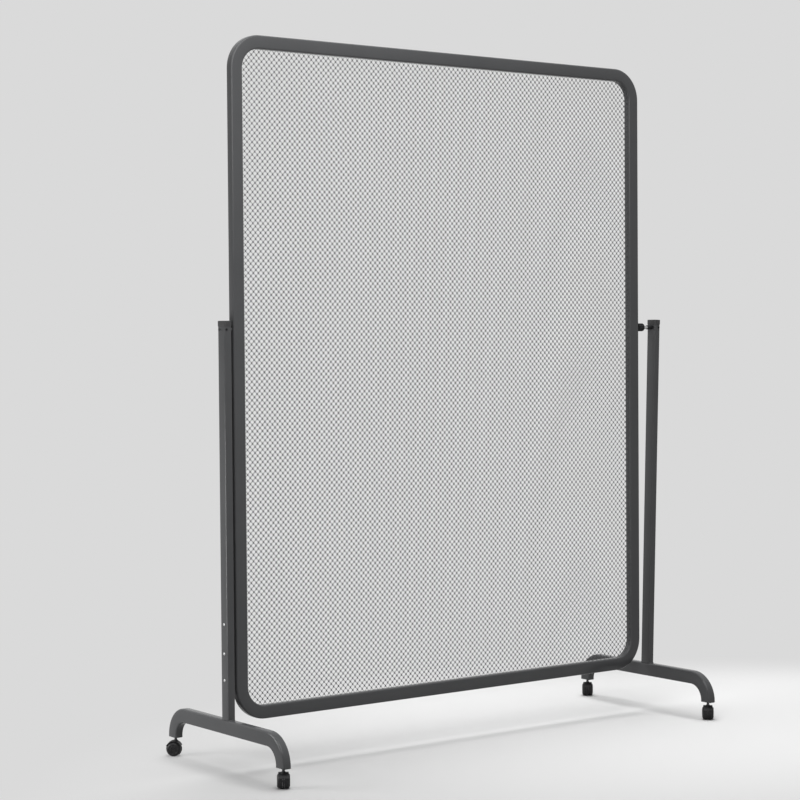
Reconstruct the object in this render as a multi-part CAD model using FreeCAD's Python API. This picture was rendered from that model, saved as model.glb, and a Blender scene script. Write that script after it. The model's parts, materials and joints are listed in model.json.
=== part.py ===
import FreeCAD, Part
import math
import os

os.makedirs("parts", exist_ok=True)

# A mesh screen that turns between two posts, each on a bent foot with two castors.
# Millimetres. X runs along the screen, Y from front to back, Z up from the floor.

# Screen frame of rectangular tube, bent round its four corners
panel_width = 1200.0
panel_height = 1500.0
panel_floor_gap = 108.0
panel_corner_radius = 75.0
frame_tube_face = 30.0
frame_tube_depth = 20.0
tube_wall = 1.5
tube_edge = 2.0

# Mesh of two layers of slanting strands, each layer held in a narrow hem
strand_pitch_x = 26.4
strand_pitch_z = 27.2
strand_width = 1.2
strand_thickness = 0.8
mesh_hem = 2.5
mesh_play = 0.2
hem_steps = 5

# Posts of smaller tube; the right one leans outwards, in degrees
post_width = 18.0
post_depth = 28.0
post_top = 985.0
left_gap = 7.5
right_gap = 51.5
right_post_lean = 1.8
cap_wall = 0.6
cap_roof = 2.0
cap_play = 0.1
cap_clear = 0.5

# Pivots: a bolt through each post that turns in a bush in the frame
pivot_below_top = 19.0
bolt_radius = 4.0
bolt_reach = 13.0
bolt_head_radius = 6.5
bolt_head_height = 4.0
bush_wall = 1.65
bush_depth = 14.0
bush_stand = 2.0
running_fit = 0.05
seat_fit = 0.02
pivot_play = 0.5
spacer_radius = 6.5
hex_sides = 6
knob_length = 18.0
knob_radius = 10.0
knob_sides = 12

# Feet of rectangular tube, bent down at both ends, that reach a little further to the rear
foot_tube_height = 32.0
foot_tube_width = 20.0
foot_span = 442.0
foot_back = 6.0
foot_bend_radius = 52.0
leg_straight = 2.5

# Plugs with chamfered ends that close the legs and carry the castor stems
plug_taper = 1.0
plug_tip_x = 17.0
plug_tip_y = 29.0
plug_rim = 2.0
plug_core_y = 15.0
plug_core_height = 20.0
plug_play = 0.2

# Twin-wheel castors
wheel_radius = 16.5
castor_width = 28.0
wheel_edge = 4.0
castor_web = 4.0
wheel_side_gap = 0.8
axle_radius = 2.5
castor_trail = 4.0
hood_gap = 0.8
hood_wall = 1.2
hood_width = 22.0
hood_arc = 130.0
hood_steps = 10
web_angle = 50.0
wheel_sides = 28
pin_sides = 24
pin_play = 0.08
boss_x = 12.0
boss_y = 10.0
boss_rise = 1.5
castor_clear = 7.0
stem_radius = 3.0
stem_hold = 16.0
castor_turns = {
    ("left", "front"): 57.0,
    ("left", "rear"): 140.0,
    ("right", "front"): 47.0,
    ("right", "rear"): 49.0,
}

# Lengths below this count as none
tiny = 0.01

Vec = FreeCAD.Vector
UP = Vec(0, 0, 1)
ACROSS = Vec(1, 0, 0)
BACK = Vec(0, 1, 0)

# Heights and positions that follow from the values above
hood_inside = wheel_radius + hood_gap
hood_outside = hood_inside + hood_wall
castor_top = wheel_radius + hood_outside + boss_rise
leg_end = castor_top + castor_clear + plug_taper
foot_top = leg_end + leg_straight + foot_bend_radius + foot_tube_height / 2
cap_height = pivot_below_top - bolt_head_radius - cap_clear
bush_radius = bolt_radius + running_fit + bush_wall
pivot_height = post_top - pivot_below_top
lean_slope = math.tan(math.radians(right_post_lean))
lean_width = post_width / math.cos(math.radians(right_post_lean))
mid_height = (foot_top + post_top) / 2
panel_x = (left_gap - right_gap + lean_slope * (pivot_height - mid_height)) / 2
panel_z = panel_floor_gap + panel_height / 2
panel_left = panel_x - panel_width / 2
panel_right = panel_x + panel_width / 2
left_post_x = panel_left - left_gap - post_width / 2
right_post_x = panel_right + right_gap + lean_width / 2
right_foot_x = right_post_x - lean_slope * (pivot_height - foot_top)
foot_x = {"left": left_post_x, "right": right_foot_x}
leg_y = {"front": foot_back - foot_span / 2, "rear": foot_back + foot_span / 2}


def save(shape, node):
    """Write one solid to its own file.

    Args:
        shape: the solid in its place on the object.
        node: the name of the file without its ending.
    """
    shape.removeSplitter().exportStep("parts/" + node + ".step")


def box(x_low, x_high, y_low, y_high, z_low, z_high):
    """Return a box between two limits on each axis."""
    corner = Vec(x_low, y_low, z_low)
    return Part.makeBox(x_high - x_low, y_high - y_low, z_high - z_low, corner)


def rod(radius, x_low, x_high):
    """Return a round bar along X on the pivot line."""
    start = Vec(x_low, 0, pivot_height)
    return Part.makeCylinder(radius, x_high - x_low, start, ACROSS)


def prism(sides, radius, x_low, x_high):
    """Return a bar of several flat sides along X on the pivot line."""
    corners = []
    for step in range(sides + 1):
        angle = 2 * math.pi * (step % sides) / sides
        y, z = radius * math.sin(angle), radius * math.cos(angle)
        corners.append(Vec(x_low, y, pivot_height + z))
    return Part.Face(Part.makePolygon(corners)).extrude(ACROSS * (x_high - x_low))


def sheet(wires):
    """Return a flat face inside the first of several wires, with the others as its holes."""
    return Part.makeFace(wires, "Part::FaceMakerBullseye")


def rounded_outline(inset, y):
    """Return the screen's outline, drawn in by a distance, as a wire at one depth.

    Args:
        inset: how far inside the outer edge of the frame the outline lies.
        y: the depth of its plane.

    Returns:
        A closed wire of four straight sides and four arcs.
    """
    half_w = panel_width / 2 - inset
    half_h = panel_height / 2 - inset
    radius = panel_corner_radius - inset
    edges = []
    for turn, (sx, sz) in enumerate([(1, 1), (-1, 1), (-1, -1), (1, -1)]):
        centre = Vec(panel_x + sx * (half_w - radius), y, panel_z + sz * (half_h - radius))
        angles = [math.radians(90 * turn + step) for step in (0, 45, 90)]
        arc = [centre + Vec(radius * math.cos(a), 0, radius * math.sin(a)) for a in angles]
        if edges:
            edges.append(Part.makeLine(last, arc[0]))
        else:
            first = arc[0]
        edges.append(Part.Arc(*arc).toShape())
        last = arc[2]
    edges.append(Part.makeLine(last, first))
    return Part.Wire(edges)


def ring(outer_inset, inner_inset, depth):
    """Return a ring that follows the screen's outline.

    Args:
        outer_inset: inset of its outer edge.
        inner_inset: inset of its inner edge.
        depth: its size along Y, half on each side of the middle plane.

    Returns:
        The ring as a solid.
    """
    wires = [rounded_outline(inset, -depth / 2) for inset in (outer_inset, inner_inset)]
    return sheet(wires).extrude(BACK * depth)


def make_frame():
    """Return the hollow bent frame with a bush hole in each side."""
    tube = ring(0, frame_tube_face, frame_tube_depth)
    level = frame_tube_depth / 2 - tiny
    rims = [e for e in tube.Edges if abs(e.CenterOfMass.y) > level]
    tube = tube.makeChamfer(tube_edge, rims)
    hollow = frame_tube_depth - 2 * tube_wall
    tube = tube.cut(ring(tube_wall, frame_tube_face - tube_wall, hollow))
    hole = bush_radius + seat_fit
    tube = tube.cut(rod(hole, panel_left - 1, panel_left + 2 * tube_wall))
    return tube.cut(rod(hole, panel_right - 2 * tube_wall, panel_right + 1))


def clip(polygon, limits):
    """Return the part of a convex polygon that lies inside another.

    Args:
        polygon: (x, z) points in order.
        limits: (x, z) points of the limiting convex polygon, anticlockwise.

    Returns:
        The clipped points, or an empty list.
    """
    for (ax, az), (bx, bz) in zip(limits, limits[1:] + limits[:1]):
        sides = [(bx - ax) * (z - az) - (bz - az) * (x - ax) for x, z in polygon]
        kept = []
        for i, point in enumerate(polygon):
            before, now = sides[i - 1], sides[i]
            if (before > 0) != (now > 0):
                share = before / (before - now)
                px, pz = polygon[i - 1]
                kept.append((px + share * (point[0] - px), pz + share * (point[1] - pz)))
            if now > 0:
                kept.append(point)
        polygon = kept
    return polygon


def area(polygon):
    """Return the area of a polygon of (x, z) points."""
    pairs = zip(polygon, polygon[1:] + polygon[:1])
    return abs(sum(x1 * z2 - x2 * z1 for (x1, z1), (x2, z2) in pairs)) / 2


def make_strands(slant):
    """Return one layer of the mesh: slanting strands inside a hem.

    Args:
        slant: 1 for strands that rise along X, -1 for strands that fall.

    Returns:
        The layer as one solid that lies against the middle plane.
    """
    inset = frame_tube_face + mesh_play
    half_w = panel_width / 2 - inset - mesh_hem
    half_h = panel_height / 2 - inset - mesh_hem
    radius = panel_corner_radius - inset - mesh_hem
    opening = []
    for turn, (sx, sz) in enumerate([(1, 1), (-1, 1), (-1, -1), (1, -1)]):
        for step in range(hem_steps + 1):
            angle = math.radians(90 * (turn + step / hem_steps))
            x = sx * (half_w - radius) + radius * math.cos(angle)
            z = sz * (half_h - radius) + radius * math.sin(angle)
            opening.append((x, z))
    across = 1 / math.hypot(1 / strand_pitch_x, 1 / strand_pitch_z)
    bar = strand_width / 2 / across
    count = math.ceil(half_w / strand_pitch_x + half_h / strand_pitch_z) + 1
    y = 0 if slant > 0 else -strand_thickness
    wires = [rounded_outline(inset, y)]
    for line in range(-count, count):
        slot = []
        for share, z in [(bar, -half_h), (1 - bar, -half_h), (1 - bar, half_h), (bar, half_h)]:
            slot.append((strand_pitch_x * (line + share + z / strand_pitch_z), z))
        slot = clip(slot, opening)
        if len(slot) < 3 or area(slot) < strand_pitch_x * strand_width:
            continue
        points = [Vec(panel_x + slant * x, y, panel_z + z) for x, z in slot]
        wires.append(Part.makePolygon(points + points[:1]))
    return sheet(wires).extrude(BACK * strand_thickness)


def make_post(side):
    """Return one post and its cap, leaning if it is the right one.

    Args:
        side: "left" or "right".

    Returns:
        The hollow post and the cap that sleeves its top.
    """
    lean = right_post_lean if side == "right" else 0.0
    length = (post_top - foot_top) / math.cos(math.radians(lean))
    x = foot_x[side]
    tube_top = foot_top + length - cap_roof
    half_x, half_y = post_width / 2, post_depth / 2
    low = foot_top - post_width
    tube = box(x - half_x, x + half_x, -half_y, half_y, low, tube_top)
    tube = tube.makeChamfer(tube_edge, upright(tube))
    bore_x, bore_y = half_x - tube_wall, half_y - tube_wall
    tube = tube.cut(box(x - bore_x, x + bore_x, -bore_y, bore_y, low - 1, tube_top + 1))
    top = foot_top + length
    out_x, out_y = half_x + cap_wall, half_y + cap_wall
    cap = box(x - out_x, x + out_x, -out_y, out_y, top - cap_height, top)
    roof = [e for e in cap.Edges if e.BoundBox.ZMin > top - cap_wall]
    cap = cap.makeChamfer(cap_wall, upright(cap) + roof)
    in_x, in_y = half_x + cap_play, half_y + cap_play
    cap = cap.cut(box(x - in_x, x + in_x, -in_y, in_y, top - cap_height - 1, tube_top))
    for piece in (tube, cap):
        piece.rotate(Vec(x, 0, foot_top), BACK, lean)
    low_cut = box(x - foot_span, x + foot_span, -foot_span, foot_span, foot_top - foot_span, foot_top)
    tube = tube.cut(low_cut)
    reach = post_width + lean_slope * post_top
    tube = tube.cut(rod(bolt_radius + running_fit, x - reach, x + reach))
    return tube, cap


def upright(shape):
    """Return the vertical edges of a shape."""
    return [e for e in shape.Edges if e.BoundBox.XLength + e.BoundBox.YLength < tiny]


def arch(x, inset, low):
    """Return the outline of a foot, drawn in by a distance, as a face across X.

    Args:
        x: position of its plane.
        inset: how far inside the tube's surface the outline lies.
        low: height of the two open ends.

    Returns:
        A flat face of a bar bent down at both ends.
    """
    half = foot_tube_height / 2 - inset
    outer = foot_span / 2 + half
    inner = foot_span / 2 - half
    big = foot_bend_radius + half
    small = foot_bend_radius - half
    centre_y = foot_span / 2 - foot_bend_radius
    centre_z = foot_top - foot_tube_height / 2 - foot_bend_radius
    slope = math.sqrt(0.5)

    def corner(sign, radius):
        """Return the three points of a bend from the leg to the top."""
        steps = [(1, 0), (slope, slope), (0, 1)]
        reach = [sign * (centre_y + radius * c) for c, s in steps]
        return [Vec(x, foot_back + y, centre_z + radius * s) for y, (c, s) in zip(reach, steps)]

    left_out, right_out = corner(-1, big), corner(1, big)
    left_in, right_in = corner(-1, small), corner(1, small)
    ends = [Vec(x, foot_back + y, low) for y in (-outer, outer, inner, -inner)]
    edges = [
        Part.makeLine(ends[0], left_out[0]),
        Part.Arc(*left_out).toShape(),
        Part.makeLine(left_out[2], right_out[2]),
        Part.Arc(*reversed(right_out)).toShape(),
        Part.makeLine(right_out[0], ends[1]),
        Part.makeLine(ends[1], ends[2]),
        Part.makeLine(ends[2], right_in[0]),
        Part.Arc(*right_in).toShape(),
        Part.makeLine(right_in[2], left_in[2]),
        Part.Arc(*reversed(left_in)).toShape(),
        Part.makeLine(left_in[0], ends[3]),
        Part.makeLine(ends[3], ends[0]),
    ]
    return Part.Face(Part.Wire(edges))


def make_foot(side):
    """Return one hollow bent foot."""
    x = foot_x[side]
    half = foot_tube_width / 2
    tube = arch(x - half, 0, leg_end).extrude(ACROSS * foot_tube_width)
    long_edges = []
    for edge in tube.Edges:
        flat = edge.BoundBox.XLength < tiny
        if flat and edge.BoundBox.ZMax > leg_end + tiny:
            long_edges.append(edge)
    tube = tube.makeChamfer(tube_edge, long_edges)
    hollow = foot_tube_width - 2 * tube_wall
    return tube.cut(arch(x - half + tube_wall, tube_wall, leg_end - 1).extrude(ACROSS * hollow))


def corners_of(x, y, z, size_x, size_y):
    """Return the four corners of a level rectangle centred on a point."""
    half_x, half_y = size_x / 2, size_y / 2
    signs = [(-1, -1), (1, -1), (1, 1), (-1, 1)]
    return [Vec(x + sx * half_x, y + sy * half_y, z) for sx, sy in signs]


def taper(low, high):
    """Return a solid with flat sides between two level rectangles, given by their corners."""
    outlines = [low, high]
    for i in range(4):
        outlines.append([low[i - 1], low[i], high[i], high[i - 1]])
    faces = [Part.Face(Part.makePolygon(points + points[:1])) for points in outlines]
    return Part.Solid(Part.Shell(faces))


def make_plug(side, end):
    """Return the plug of one leg, bored for its castor stem."""
    x, y = foot_x[side], leg_y[end]
    tip = leg_end - plug_taper
    wide = corners_of(x, y, leg_end, foot_tube_width, foot_tube_height)
    plug = taper(corners_of(x, y, tip, plug_tip_x, plug_tip_y), wide)
    in_x = foot_tube_width / 2 - tube_wall - plug_play
    in_y = foot_tube_height / 2 - tube_wall - plug_play
    rim = box(x - in_x, x + in_x, y - in_y, y + in_y, leg_end, leg_end + plug_rim)
    core_y = plug_core_y / 2
    core_top = leg_end + plug_core_height
    core = box(x - in_x, x + in_x, y - core_y, y + core_y, leg_end, core_top)
    plug = plug.fuse([rim, core]).removeSplitter()
    depth = plug_taper + stem_hold + running_fit
    return plug.cut(Part.makeCylinder(stem_radius + running_fit, depth, Vec(x, y, tip), UP))


def place_castor(shape, side, end):
    """Turn a castor piece to its rest angle and set it under its leg."""
    shape.rotate(Vec(0, 0, 0), UP, castor_turns[side, end])
    shape.translate(Vec(foot_x[side], leg_y[end], 0))
    return shape


def around(radius, start, end, steps):
    """Return points round a castor's axle, in the plane of its web.

    Args:
        radius: distance from the axle.
        start: first angle above the trailing side, in degrees.
        end: last angle.
        steps: number of equal steps between them.

    Returns:
        A list of vectors, one more than the steps.
    """
    points = []
    for step in range(steps + 1):
        angle = math.radians(start + (end - start) * step / steps)
        x, z = radius * math.cos(angle), radius * math.sin(angle)
        points.append(Vec(castor_trail + x, 0, wheel_radius + z))
    return points


def slab(points, y_low, y_high):
    """Return a solid of one outline in the plane of the web, between two depths."""
    lift = BACK * y_low
    outline = [point + lift for point in points]
    face = Part.Face(Part.makePolygon(outline + outline[:1]))
    return face.extrude(BACK * (y_high - y_low))


def make_axle(width):
    """Return a round pin on a castor's axle line, half on each side of its web."""
    start = Vec(castor_trail, -width / 2, wheel_radius)
    return Part.makeCylinder(axle_radius, width, start, BACK)


def make_hood():
    """Return a castor's hood: a web between the wheels, a narrow cover over them and a boss."""
    half = hood_width / 2
    start = (180 - hood_arc) / 2
    end = 180 - start
    under = around(hood_inside, start, end, hood_steps)
    over = around(hood_outside, start, end, hood_steps)
    cover = slab(over + under[::-1], -half, half)
    rim = (hood_inside + hood_outside) / 2
    web = around(rim, -web_angle, 180 + web_angle, hood_steps)
    web = slab(web, -castor_web / 2, castor_web / 2)
    boss = box(-boss_x / 2, boss_x / 2, -boss_y / 2, boss_y / 2, wheel_radius, castor_top)
    room = slab(under + [Vec(castor_trail, 0, wheel_radius - hood_inside)], -half, half)
    hood = cover.fuse([web, boss.cut(room)]).removeSplitter()
    hole = around(axle_radius + pin_play, 0, 360 - 360 / pin_sides, pin_sides - 1)
    return hood.cut(slab(hole, -half, half))


def make_wheels():
    """Return a castor's two wheels, chamfered on their outer sides, on their shared axle."""
    inner = castor_web / 2 + wheel_side_gap
    half_step = 180 / wheel_sides
    corner_radius = wheel_radius / math.cos(math.radians(half_step))
    rim = around(corner_radius, half_step - 90, 270 - half_step, wheel_sides - 1)
    outer = castor_width / 2
    discs = []
    for low, high in ((inner, outer), (-outer, -inner)):
        disc = slab(rim, low, high)
        edges = [e for e in disc.Edges if abs(e.CenterOfMass.y) > outer - tiny]
        discs.append(disc.makeChamfer(wheel_edge, edges))
    return make_axle(2 * inner).fuse(discs)


def make_stem():
    """Return a castor's stem, which stands on the boss and turns in the plug."""
    length = leg_end + stem_hold - castor_top
    corners = []
    for step in range(pin_sides + 1):
        angle = 2 * math.pi * (step % pin_sides) / pin_sides
        x, y = stem_radius * math.cos(angle), stem_radius * math.sin(angle)
        corners.append(Vec(x, y, castor_top))
    return Part.Face(Part.makePolygon(corners)).extrude(UP * length)


# The screen
save(make_frame(), "panel_frame")
save(make_strands(1), "mesh_rising_strands")
save(make_strands(-1), "mesh_falling_strands")
for side, face, inward in (("left", panel_left, 1), ("right", panel_right, -1)):
    low, high = sorted((face - inward * bush_stand, face + inward * bush_depth))
    bore = rod(bolt_radius + running_fit, low - 1, high + 1)
    save(prism(hex_sides, bush_radius, low, high).cut(bore), side + "_pivot_bush")

# The left pivot, close against its post
seat = left_post_x - post_width / 2
head = prism(hex_sides, bolt_head_radius, seat - bolt_head_height, seat)
save(head.fuse(rod(bolt_radius, seat, panel_left + bolt_reach)), "left_pivot_bolt")
low, high = panel_left - left_gap, panel_left - bush_stand - pivot_play
bore = rod(bolt_radius + running_fit, low - 1, high + 1)
save(prism(hex_sides, spacer_radius, low, high).cut(bore), "left_pivot_spacer")

# The right pivot, with a hand knob on the long bare part of its bolt
seat = right_post_x + lean_width / 2 + lean_slope * bolt_head_radius
head = prism(hex_sides, bolt_head_radius, seat, seat + bolt_head_height)
save(head.fuse(rod(bolt_radius, panel_right - bolt_reach, seat)), "right_pivot_bolt")
low = panel_right + bush_stand + pivot_play
high = low + knob_length
bore = rod(bolt_radius + running_fit, low - 1, high + 1)
save(prism(knob_sides, knob_radius, low, high).cut(bore), "right_clamp_knob")

# The two stands and their castors
for side in ("left", "right"):
    post, cap = make_post(side)
    save(post, side + "_post")
    save(cap, side + "_post_cap")
    save(make_foot(side), side + "_foot")
    for end in ("front", "rear"):
        name = side + "_" + end
        save(make_plug(side, end), name + "_leg_plug")
        save(place_castor(make_stem(), side, end), name + "_castor_stem")
        save(place_castor(make_hood(), side, end), name + "_castor_hood")
        save(place_castor(make_wheels(), side, end), name + "_castor_wheels")
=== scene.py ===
"""A mesh room divider: a tilting mesh screen between two posts on bent feet with castors.

Lengths are metres. X runs along the screen, Y from front to back, Z up from the floor.
Each class below is one sub-assembly: its fields are its sizes, and its methods model and dress it.
"""
import json
import logging
import math
from dataclasses import dataclass, field
from enum import Enum
from typing import Callable, Iterable, Sequence

import bmesh
import bpy
from mathutils import Matrix, Vector


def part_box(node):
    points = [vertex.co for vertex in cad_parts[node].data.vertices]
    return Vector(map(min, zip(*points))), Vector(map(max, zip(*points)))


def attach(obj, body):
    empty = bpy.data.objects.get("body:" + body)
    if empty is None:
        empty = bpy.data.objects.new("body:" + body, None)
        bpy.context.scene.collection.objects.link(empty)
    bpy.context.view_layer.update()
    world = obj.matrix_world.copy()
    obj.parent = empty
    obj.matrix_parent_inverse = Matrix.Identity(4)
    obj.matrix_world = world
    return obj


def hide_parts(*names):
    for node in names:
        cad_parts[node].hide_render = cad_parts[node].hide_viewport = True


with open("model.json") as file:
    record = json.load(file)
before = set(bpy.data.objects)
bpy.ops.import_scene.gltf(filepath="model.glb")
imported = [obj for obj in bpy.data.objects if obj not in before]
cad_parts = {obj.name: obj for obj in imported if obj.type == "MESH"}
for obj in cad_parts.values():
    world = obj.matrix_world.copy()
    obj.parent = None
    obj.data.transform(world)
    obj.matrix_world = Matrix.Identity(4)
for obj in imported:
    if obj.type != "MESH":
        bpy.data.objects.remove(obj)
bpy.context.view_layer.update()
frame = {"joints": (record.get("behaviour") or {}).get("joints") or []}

LOG = logging.getLogger("room_divider")
MM = 0.001
X_AXIS, Y_AXIS, Z_AXIS = (1, 0, 0), (0, 1, 0), (0, 0, 1)
DOWN = (0, 0, -1)

# The cosine over which a direction counts as along an axis, and a face as flat on to it
ALONG = 0.9
FLAT = 0.99
# The cosine under which a face counts as one of a round piece's sides
SIDEWAYS = 0.5
# The distance under which two points become one
MERGE = 0.00001
# The crease angle in degrees of pieces with coarse facets
SOFT_CREASE = 60.0

Colour = tuple[float, float, float]
Test = Callable[[Vector, Vector], bool]


class Pick(Enum):
    """The kind of mesh element that a choice selects."""

    VERT = "VERT"
    EDGE = "EDGE"
    FACE = "FACE"


class Blend(Enum):
    """The ways to combine two solids."""

    UNION = "UNION"
    DIFFERENCE = "DIFFERENCE"
    INTERSECT = "INTERSECT"


class Side(Enum):
    """The two stands of the divider, with the way each looks away from the screen."""

    LEFT = -1
    RIGHT = 1

    @property
    def word(self) -> str:
        """Return the name that the stand's pieces start with."""
        return self.name.lower()


class End(Enum):
    """The two ends of a foot."""

    FRONT = -1
    REAR = 1

    @property
    def word(self) -> str:
        """Return the name that the end's pieces carry."""
        return self.name.lower()


class Slant(Enum):
    """The two directions of the mesh's strands."""

    RISING = 1
    FALLING = -1

    @property
    def word(self) -> str:
        """Return the name that the layer's piece carries."""
        return self.name.lower()


# Modelling by hand, one step at a time


def clear_selection() -> None:
    """Leave edit mode and select nothing."""
    active = bpy.context.view_layer.objects.active
    if active is not None and active.mode != "OBJECT":
        bpy.ops.object.mode_set(mode="OBJECT")
    bpy.ops.object.select_all(action="DESELECT")


def take(piece: bpy.types.Object) -> None:
    """Make one piece the only selected and active object.

    Args:
        piece: the object to work on next.
    """
    clear_selection()
    piece.select_set(True)
    bpy.context.view_layer.objects.active = piece


def start_block(name: str, low: Sequence[float], high: Sequence[float]) -> bpy.types.Object:
    """Add a block between two corners, ready to be shaped.

    Args:
        name: the piece's name.
        low: its lowest corner.
        high: its highest corner.

    Returns:
        The new object, at the origin, with its place in its mesh.
    """
    clear_selection()
    low_corner, high_corner = Vector(low), Vector(high)
    bpy.ops.mesh.primitive_cube_add(size=1, location=(low_corner + high_corner) / 2)
    piece = bpy.context.object
    piece.name = name
    piece.scale = high_corner - low_corner
    bpy.ops.object.transform_apply(location=True, rotation=True, scale=True)
    return piece


def start_disc(
    name: str,
    centre: Sequence[float],
    radius: float,
    depth: float,
    axis: Sequence[float],
    sides: int = 48,
) -> bpy.types.Object:
    """Add a round disc or bar, ready to be shaped.

    Args:
        name: the piece's name.
        centre: its middle.
        radius: its radius.
        depth: its length along its axis.
        axis: the direction of its axis.
        sides: the number of its flat sides.

    Returns:
        The new object, at the origin, with its place in its mesh.
    """
    clear_selection()
    turn = Vector(Z_AXIS).rotation_difference(Vector(axis)).to_euler()
    bpy.ops.mesh.primitive_cylinder_add(
        vertices=sides, radius=radius, depth=depth, location=centre, rotation=turn
    )
    piece = bpy.context.object
    piece.name = name
    bpy.ops.object.transform_apply(location=True, rotation=True, scale=True)
    return piece


def edit(piece: bpy.types.Object, kind: Pick = Pick.FACE) -> None:
    """Open one piece in edit mode with nothing selected.

    Args:
        piece: the object to shape.
        kind: the kind of element that will be selected.
    """
    take(piece)
    bpy.ops.object.mode_set(mode="EDIT")
    bpy.ops.mesh.select_mode(type=kind.value)
    bpy.ops.mesh.select_all(action="DESELECT")


def choose(piece: bpy.types.Object, kind: Pick, test: Test) -> None:
    """Select the elements of an edited piece by their place and direction.

    Args:
        piece: the object in edit mode.
        kind: faces, edges or points.
        test: takes an element's centre and direction (a face's normal, an edge's run or a
            point's normal) and says whether it is chosen.
    """
    bpy.ops.mesh.select_mode(type=kind.value)
    bpy.ops.mesh.select_all(action="DESELECT")
    mesh = bmesh.from_edit_mesh(piece.data)
    if kind is Pick.FACE:
        elements = [(f, f.calc_center_median(), f.normal) for f in mesh.faces]
    elif kind is Pick.EDGE:
        elements = []
        for e in mesh.edges:
            start, end = e.verts[0].co, e.verts[1].co
            elements.append((e, (start + end) / 2, (end - start).normalized()))
    else:
        elements = [(v, v.co, v.normal) for v in mesh.verts]
    for element, centre, direction in elements:
        if test(centre, direction):
            element.select_set(True)
    mesh.select_flush_mode()
    bmesh.update_edit_mesh(piece.data)


def choose_facing(
    piece: bpy.types.Object, way: Sequence[float], limit: float = ALONG
) -> None:
    """Select the faces of an edited piece that look a given way.

    Args:
        piece: the object in edit mode.
        way: the direction, of length 1.
        limit: the cosine over which a face counts as looking that way.
    """
    axis = Vector(way)
    choose(piece, Pick.FACE, lambda at, normal: normal.dot(axis) > limit)


def extrude(shift: Sequence[float]) -> None:
    """Draw the selection out along a straight line.

    Args:
        shift: how far it goes along each axis.
    """
    bpy.ops.mesh.extrude_region_move(TRANSFORM_OT_translate={"value": tuple(shift)})


def swell(amount: float) -> None:
    """Draw the selected faces out along their own directions.

    Args:
        amount: how far they rise; below zero they sink.
    """
    bpy.ops.mesh.extrude_region_shrink_fatten(TRANSFORM_OT_shrink_fatten={"value": amount})


def spin(centre: Sequence[float], axis: Sequence[float], degrees: float, steps: int) -> None:
    """Draw the selection round an axis, by the right-hand rule.

    Args:
        centre: a point on the axis.
        axis: its direction.
        degrees: the angle to turn through.
        steps: the number of stretches in the bend.
    """
    angle = -math.radians(degrees)
    bpy.ops.mesh.spin(steps=steps, angle=angle, center=tuple(centre), axis=tuple(axis))


def bevel(width: float, segments: int) -> None:
    """Round the selected edges.

    Args:
        width: the size of the rounding.
        segments: the number of flats in it.
    """
    bpy.ops.mesh.bevel(offset=width, segments=segments, affect="EDGES", clamp_overlap=True)


def round_rim(piece: bpy.types.Object, way: Sequence[float], size: float, flats: int) -> None:
    """Round the rim of the faces that look a given way.

    Args:
        piece: the object in edit mode.
        way: the direction, of length 1.
        size: the size of the rounding.
        flats: the number of flats in it.
    """
    choose_facing(piece, way)
    bpy.ops.mesh.region_to_loop()
    bevel(size, flats)


def round_along(piece: bpy.types.Object, way: Sequence[float], size: float, flats: int) -> None:
    """Open a piece in edit mode and round its edges that run along an axis.

    Args:
        piece: the object to shape.
        way: the axis, of length 1.
        size: the size of the rounding.
        flats: the number of flats in it.
    """
    axis = Vector(way)
    edit(piece, Pick.EDGE)
    choose(piece, Pick.EDGE, lambda at, run: abs(run.dot(axis)) > ALONG)
    bevel(size, flats)


def score(place: Sequence[float], way: Sequence[float]) -> None:
    """Cut a line of edges round the edited piece.

    Args:
        place: a point in the plane of the cut.
        way: the direction across the plane.
    """
    bpy.ops.mesh.select_all(action="SELECT")
    bpy.ops.mesh.bisect(plane_co=place, plane_no=way)


def inset(width: float, depth: float = 0.0) -> None:
    """Draw the selected faces in, and sink or raise them.

    Args:
        width: how far their outline is drawn in.
        depth: how far they rise; below zero they sink.
    """
    bpy.ops.mesh.inset(thickness=width, depth=depth)


def close_mesh(piece: bpy.types.Object) -> None:
    """Merge doubled points, close open ends and turn every face outwards.

    Args:
        piece: the object in edit mode, which is left in object mode.
    """
    bpy.ops.mesh.select_mode(type="VERT")
    bpy.ops.mesh.select_all(action="SELECT")
    bpy.ops.mesh.remove_doubles(threshold=MERGE)
    bpy.ops.mesh.fill_holes(sides=0)
    bpy.ops.mesh.select_all(action="SELECT")
    bpy.ops.mesh.normals_make_consistent(inside=False)
    bpy.ops.object.mode_set(mode="OBJECT")
    LOG.debug("%s has %d faces", piece.name, len(piece.data.polygons))


def cut_below(piece: bpy.types.Object, height: float) -> None:
    """Cut away what lies below a height and close the cut.

    Args:
        piece: the object to cut.
        height: the height of the cut.
    """
    edit(piece)
    bpy.ops.mesh.select_all(action="SELECT")
    bpy.ops.mesh.bisect(
        plane_co=(0, 0, height), plane_no=Z_AXIS, use_fill=True, clear_inner=True
    )
    close_mesh(piece)


def apply_modifier(piece: bpy.types.Object, kind: str, **settings: object) -> None:
    """Add a modifier with its settings and apply it at once.

    Args:
        piece: the object to change.
        kind: the modifier's type.
        settings: its values by name.
    """
    take(piece)
    modifier = piece.modifiers.new(kind.title(), kind)
    for name, value in settings.items():
        setattr(modifier, name, value)
    bpy.ops.object.modifier_apply(modifier=modifier.name)


def combine(
    piece: bpy.types.Object, way: Blend, *others: bpy.types.Object
) -> bpy.types.Object:
    """Combine solids with the first one and remove the others.

    Args:
        piece: the solid that stays.
        way: how they are combined.
        others: the solids that are joined to it, taken from it or shared with it.

    Returns:
        The first piece.
    """
    for other in others:
        apply_modifier(piece, "BOOLEAN", operation=way.value, solver="EXACT", object=other)
        bpy.data.objects.remove(other)
    return piece


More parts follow.
